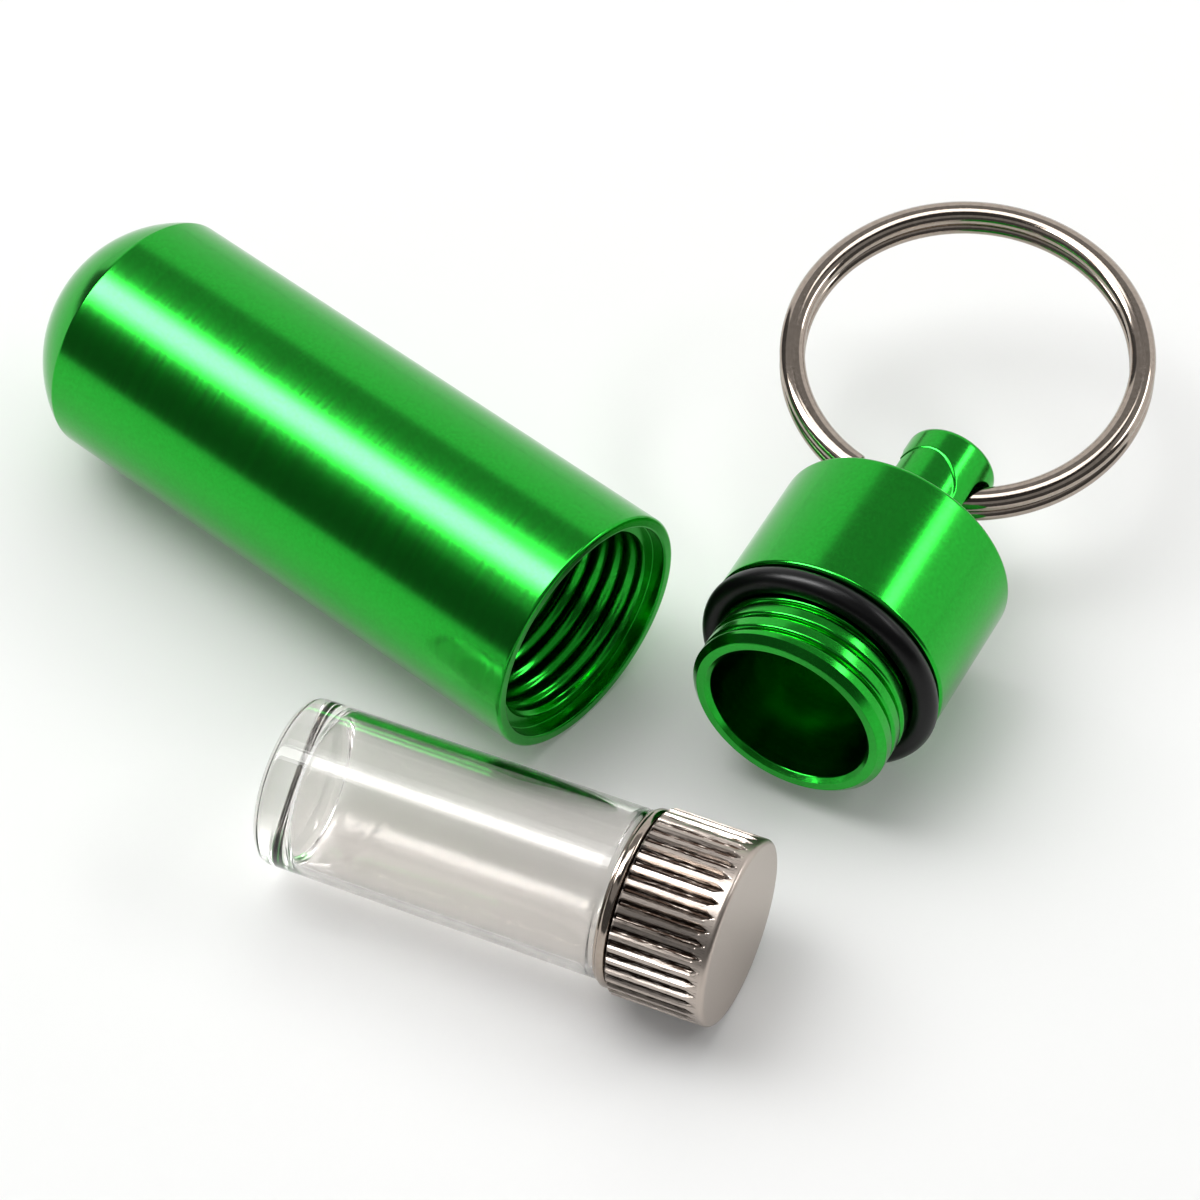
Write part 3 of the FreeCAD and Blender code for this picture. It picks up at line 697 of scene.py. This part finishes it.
# Camera: a long lens at arm's length, at the photograph's angle, for a frame of 1200 x 1200.
view_point = Vector((5.3661, -1.5143, 0)) * mm
view_azimuth = math.radians(23.87)
view_elevation = math.radians(50.74)
view_distance = 303.54 * mm
frame_pixels = 1200
focal_pixels = 4567.3
camera_data = bpy.data.cameras.new("photo_camera")
camera_data.sensor_width = 36.0
camera_data.lens = camera_data.sensor_width * focal_pixels / frame_pixels
camera_data.clip_start = 0.01
camera = bpy.data.objects.new("photo_camera", camera_data)
bpy.context.collection.objects.link(camera)
view_back = Vector((math.sin(view_azimuth) * math.cos(view_elevation),
                    -math.cos(view_azimuth) * math.cos(view_elevation), math.sin(view_elevation)))
camera.location = view_point + view_back * view_distance
camera.rotation_euler = (-view_back).to_track_quat("-Z", "Y").to_euler()
bpy.context.scene.camera = camera


# Light: a softbox high on the left and a large one behind it light the paper, and a narrow one on the right
# lights the rim. Bright strips and grey cloths, which only the metal and the glass show, draw the light and
# dark stripes, and a white room fills the rest.
def aimed(azimuth, elevation, distance):
    """Place and turn of something that faces the middle of the view. The azimuth runs from X towards Y."""
    turn = math.radians(azimuth)
    rise = math.radians(elevation)
    way = Vector((math.cos(turn) * math.cos(rise), math.sin(turn) * math.cos(rise), math.sin(rise)))
    matrix = (-way).to_track_quat("-Z", "Y").to_matrix().to_4x4()
    matrix.translation = view_point + way * distance
    return matrix


watts_per_level = 4
for name, azimuth, elevation, distance, width, height, level, on_gloss, on_paper in (
        ("key_softbox", -175, 57, 1.2, 0.64, 0.92, 2.2, False, True),
        ("key_strip", -172, 57, 1.25, 0.46, 0.9, 6.0, True, False),
        ("key_core", -172, 57, 1.2, 0.26, 0.84, 12.0, True, False),
        ("rim_softbox", 34, 39, 1.2, 0.62, 0.17, 5.5, True, True),
        ("overhead_softbox", 115, 76, 1.2, 0.68, 0.4, 3.0, True, False),
        ("top_softbox", 135, 65, 1.2, 1.5, 1.5, 1.35, False, True)):
    softbox = bpy.data.lights.new(name, "AREA")
    softbox.shape = "RECTANGLE"
    softbox.size = width
    softbox.size_y = height
    softbox.energy = watts_per_level * width * height * level
    lamp = bpy.data.objects.new(name, softbox)
    lamp.matrix_world = aimed(azimuth, elevation, distance)
    lamp.visible_glossy = on_gloss
    lamp.visible_diffuse = on_paper
    bpy.context.collection.objects.link(lamp)

cloth_distance = 1.8
cloth_columns = 48
cloth_rows = 8
for name, first, last, low, high, shade in (
        ("grey_canopy", -180, 180, 41, 63, "#A0A0A0"),
        ("dark_ceiling", -180, 180, 63, 90, "#404040"),
        ("dark_front", -208, 20, 2, 41, "#585858")):
    cloth = empty_material(name)
    tree = cloth.node_tree
    sheen = add_node(tree, "ShaderNodeEmission", {"Color": linear(shade), "Strength": 1.0})
    add_node(tree, "ShaderNodeOutputMaterial", {"Surface": sheen.outputs["Emission"]})
    turns = [first + (last - first) * step / cloth_columns for step in range(cloth_columns + 1)]
    rises = [low + (high - low) * step / cloth_rows for step in range(cloth_rows + 1)]
    points = [aimed(turn, rise, cloth_distance).translation for rise in rises for turn in turns]
    starts = [row * len(turns) + column for row in range(cloth_rows) for column in range(cloth_columns)]
    panels = [(at, at + 1, at + 1 + len(turns), at + len(turns)) for at in starts]
    canopy_mesh = bpy.data.meshes.new(name)
    canopy_mesh.from_pydata(points, [], panels)
    canopy_mesh.materials.append(cloth)
    canopy = bpy.data.objects.new(name, canopy_mesh)
    canopy.visible_camera = False
    canopy.visible_diffuse = False
    canopy.visible_transmission = False
    canopy.visible_shadow = False
    bpy.context.collection.objects.link(canopy)

room = bpy.data.worlds.new("white_room")
room.use_nodes = True
tree = room.node_tree
tree.nodes.clear()
ray = add_node(tree, "ShaderNodeLightPath", {})
seen = add_node(tree, "ShaderNodeMath", {
    0: ray.outputs["Is Camera Ray"], 1: ray.outputs["Is Glossy Ray"]}, operation="MAXIMUM")
seen_through = add_node(tree, "ShaderNodeMath", {
    0: seen.outputs["Value"], 1: ray.outputs["Is Transmission Ray"]}, operation="MAXIMUM")
room_level = add_node(tree, "ShaderNodeMapRange", {
    "Value": seen_through.outputs["Value"], "To Min": 0.2, "To Max": 1.0})
walls = add_node(tree, "ShaderNodeBackground", {
    "Color": linear("#FFFFFF"), "Strength": room_level.outputs["Result"]})
add_node(tree, "ShaderNodeOutputWorld", {"Surface": walls.outputs["Background"]})
bpy.context.scene.world = room
bpy.context.scene.view_settings.view_transform = "Standard"
# Light that glances along inside the wall of the glass turns more often than the usual four times.
bpy.context.scene.cycles.glossy_bounces = 12
